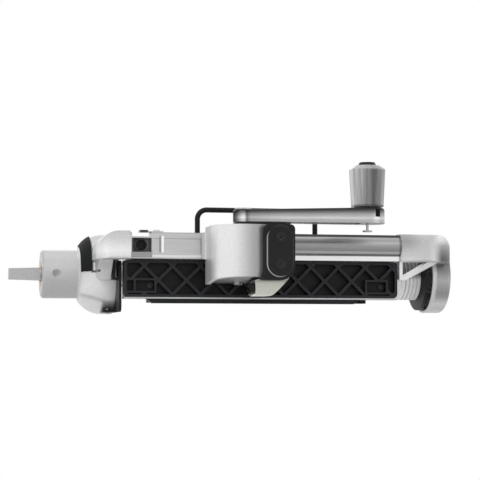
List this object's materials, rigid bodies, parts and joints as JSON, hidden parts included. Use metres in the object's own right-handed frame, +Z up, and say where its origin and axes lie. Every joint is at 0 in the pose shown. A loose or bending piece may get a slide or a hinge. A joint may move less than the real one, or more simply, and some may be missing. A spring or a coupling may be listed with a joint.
{
  "type": "vegetable sheet cutter",
  "caption": "Mixer-driven vegetable sheet cutter: geared housing with hub spigot, food skewer, sprung tail and a crank that feeds a lattice-faced blade carriage by rack and pinion.",
  "frame": {"origin": "on the hub axis, at the shoulder where the spigot meets the housing", "axes": "+X along the food axis away from the mixer, +Y away from the crank side, +Z up"},
  "size_m": [0.2947, 0.1194, 0.096],
  "materials": {
    "cast_aluminium": "polished cast aluminium",
    "satin_aluminium": "satin extruded aluminium",
    "crank_metal": "bright plated",
    "knob_metal": "brushed, faceted",
    "bright_trim": "mirror polished",
    "black_plastic": "moulded, fine grain",
    "black_gloss": "semi-gloss",
    "black_rubber": "matt",
    "black_wire": "black coated wire",
    "steel": "stainless",
    "blade_steel": "ground stainless",
    "spring_steel": "spring wire",
    "bronze": "sintered bronze",
    "gear_steel": "cut teeth, greased"
  },
  "bodies": {
    "frame": {"gear_housing": "cast_aluminium", "gear_cover": "satin_aluminium", "collar_pad": "black_rubber", "input_bush": "bronze", "spindle_bush": "bronze", "idler_pin": "steel", "guide_plate": "black_plastic", "guide_plate_screw": "steel", "rail": "satin_aluminium", "pocket_insert": "black_plastic", "rod_clip": "spring_steel", "clip_screw": "steel", "guide_rods": "steel", "flange_bolts": "steel", "wire_hoop": "black_wire", "end_bracket": "cast_aluminium", "end_cap": "cast_aluminium", "drum_housing": "cast_aluminium", "crank_bush": "bronze", "pinion_pin": "steel", "undercover": "satin_aluminium", "undercover_screw": "steel", "drum_lid": "black_gloss", "rack_cover": "black_gloss", "rack_cover_plate": "black_gloss", "rack_cover_screws": "black_wire", "cover_lip": "bright_trim"},
    "drive_shaft": {"power_shaft": "steel", "input_gear": "gear_steel"},
    "idler": {"idler_cluster": "gear_steel"},
    "food_drive": {"output_gear": "gear_steel", "food_spindle": "steel", "food_holder": "steel", "food_skewer": "steel"},
    "tail": {"tail_sleeve": "steel", "tail_spring": "spring_steel"},
    "tail_spinner": {"tail_collar": "cast_aluminium", "tail_disc": "black_plastic"},
    "crank": {"crank_arm": "crank_metal", "crank_shaft": "steel", "crank_gear": "gear_steel", "knob_axle": "crank_metal"},
    "knob": {"knob_barrel": "knob_metal", "knob_cap": "black_gloss"},
    "pinion": {"rack_pinion": "gear_steel"},
    "carriage": {"cassette": "black_plastic", "cassette_screws": "steel", "carriage_frame": "satin_aluminium", "guide_bushes": "bronze", "pressure_strip": "steel", "pressure_bar": "black_plastic", "blade": "blade_steel", "blade_holder": "black_plastic", "feed_rack": "gear_steel", "rack_screws": "steel"}
  },
  "joints": [
    {"name": "power_shaft_spin", "type": "hinge", "parent": "frame", "child": "drive_shaft", "pos_m": [0, 0, 0], "axis": [1, 0, 0], "continuous": true},
    {"name": "idler_spin", "type": "hinge", "parent": "frame", "child": "idler", "pos_m": [0, 0, -0.012], "axis": [1, 0, 0], "continuous": true},
    {"name": "food_spin", "type": "hinge", "parent": "frame", "child": "food_drive", "pos_m": [0, 0, 0], "axis": [1, 0, 0], "continuous": true},
    {"name": "tail_slide", "type": "slide", "parent": "frame", "child": "tail", "axis": [1, 0, 0], "range_m": [0, 0.004], "stiffness_N_per_m": 900, "springref_m": -0.006, "deforming": ["tail_spring"]},
    {"name": "tail_spin", "type": "hinge", "parent": "tail", "child": "tail_spinner", "pos_m": [0.2309, 0, 0], "axis": [1, 0, 0], "continuous": true},
    {"name": "crank_turn", "type": "hinge", "parent": "frame", "child": "crank", "pos_m": [0.096, -0.074, 0.0306], "axis": [0, 0, -1], "range_deg": [0, 165.52]},
    {"name": "knob_spin", "type": "hinge", "parent": "crank", "child": "knob", "pos_m": [0.177, -0.074, 0.0413], "axis": [0, 0, 1], "continuous": true},
    {"name": "pinion_turn", "type": "hinge", "parent": "frame", "child": "pinion", "pos_m": [0.10733, -0.06001, 0.0016], "axis": [0, 0, 1], "range_deg": [0, 165.53]},
    {"name": "carriage_slide", "type": "slide", "parent": "frame", "child": "carriage", "axis": [0, 1, 0], "range_m": [0, 0.026]}
  ],
  "couplings": [
    {"joint": "idler_spin", "follows": "power_shaft_spin", "ratio": -0.6},
    {"joint": "food_spin", "follows": "power_shaft_spin", "ratio": 0.41053},
    {"joint": "tail_spin", "follows": "power_shaft_spin", "ratio": 0.41053},
    {"joint": "pinion_turn", "follows": "crank_turn", "ratio": 1},
    {"joint": "carriage_slide", "follows": "crank_turn", "m_per_rad": 0.009}
  ]
}
